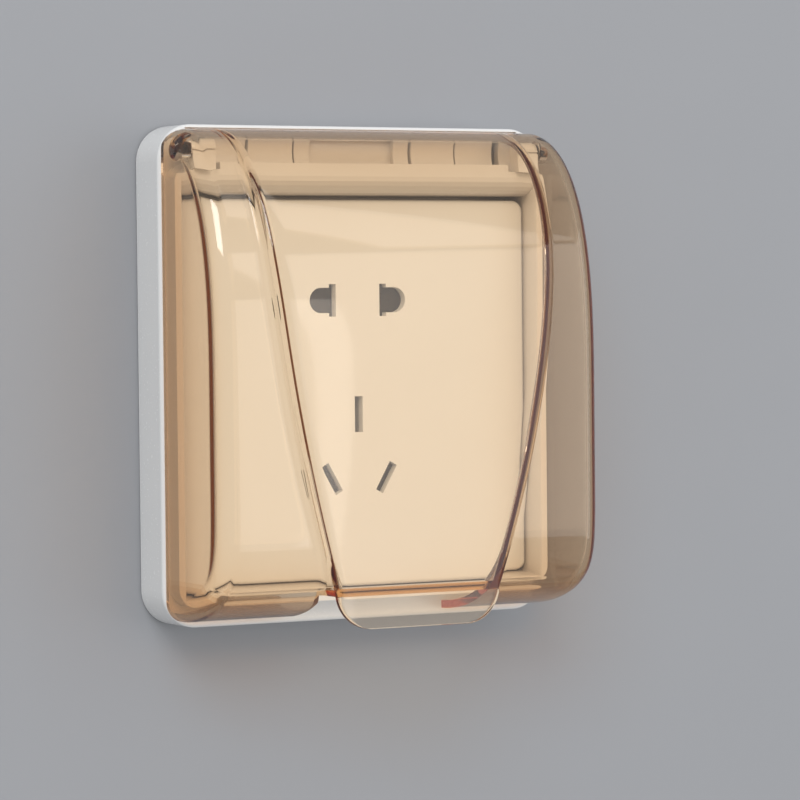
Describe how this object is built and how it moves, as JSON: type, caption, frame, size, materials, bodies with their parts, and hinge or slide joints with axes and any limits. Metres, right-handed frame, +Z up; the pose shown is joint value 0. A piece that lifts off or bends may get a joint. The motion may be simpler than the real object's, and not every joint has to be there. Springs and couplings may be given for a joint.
{
  "type": "waterproof socket cover",
  "caption": "Wall-mounted waterproof socket cover: a white frame round a flush socket insert, under a hinged amber lid with a raised panel and a cord outlet.",
  "frame": {"origin": "on the wall plane, behind the middle of the square socket plate and of the two fixing screws", "axes": "+X to the right as seen from the room, +Y into the wall, +Z up"},
  "size_m": [0.0964, 0.0614, 0.1098],
  "materials": {
    "frame_plastic": "glossy moulded white",
    "gasket_rubber": "closed-cell foam",
    "lid_amber": "clear amber, polished",
    "plate_plastic": "satin moulded white",
    "housing_plastic": "plain moulded",
    "shutter_plastic": "plain moulded",
    "contact_brass": "pressed and machined",
    "spring_steel": "drawn wire",
    "zinc_steel": "zinc plated"
  },
  "bodies": {
    "frame": {"base_frame": "frame_plastic", "wall_gasket": "gasket_rubber", "face_plate": "plate_plastic", "socket_bracket": "zinc_steel", "rear_housing": "housing_plastic", "shutter_carrier": "housing_plastic", "two_pin_spring": "spring_steel", "three_pin_spring": "spring_steel", "line_contact": "contact_brass", "neutral_contact": "contact_brass", "earth_contact": "contact_brass", "line_terminal": "contact_brass", "neutral_terminal": "contact_brass", "earth_terminal": "contact_brass", "terminal_screws": "zinc_steel", "fixing_screws": "zinc_steel", "housing_screws": "zinc_steel"},
    "lid": {"lid": "lid_amber"},
    "two_pin_shutter": {"two_pin_shutter": "shutter_plastic"},
    "three_pin_shutter": {"three_pin_shutter": "shutter_plastic"}
  },
  "joints": [
    {"name": "lid_hinge", "type": "hinge", "parent": "frame", "child": "lid", "pos_m": [0, -0.0165, 0.0536], "axis": [-1, 0, 0], "range_deg": [0, 90]},
    {"name": "two_pin_slide", "type": "slide", "parent": "frame", "child": "two_pin_shutter", "axis": [1, 0, 0], "range_m": [0, 0.0068], "stiffness_N_per_m": 150, "springref_m": -0.002, "deforming": ["two_pin_spring"]},
    {"name": "three_pin_slide", "type": "slide", "parent": "frame", "child": "three_pin_shutter", "axis": [1, 0, 0], "range_m": [0, 0.0056], "stiffness_N_per_m": 150, "springref_m": -0.002, "deforming": ["three_pin_spring"]}
  ]
}
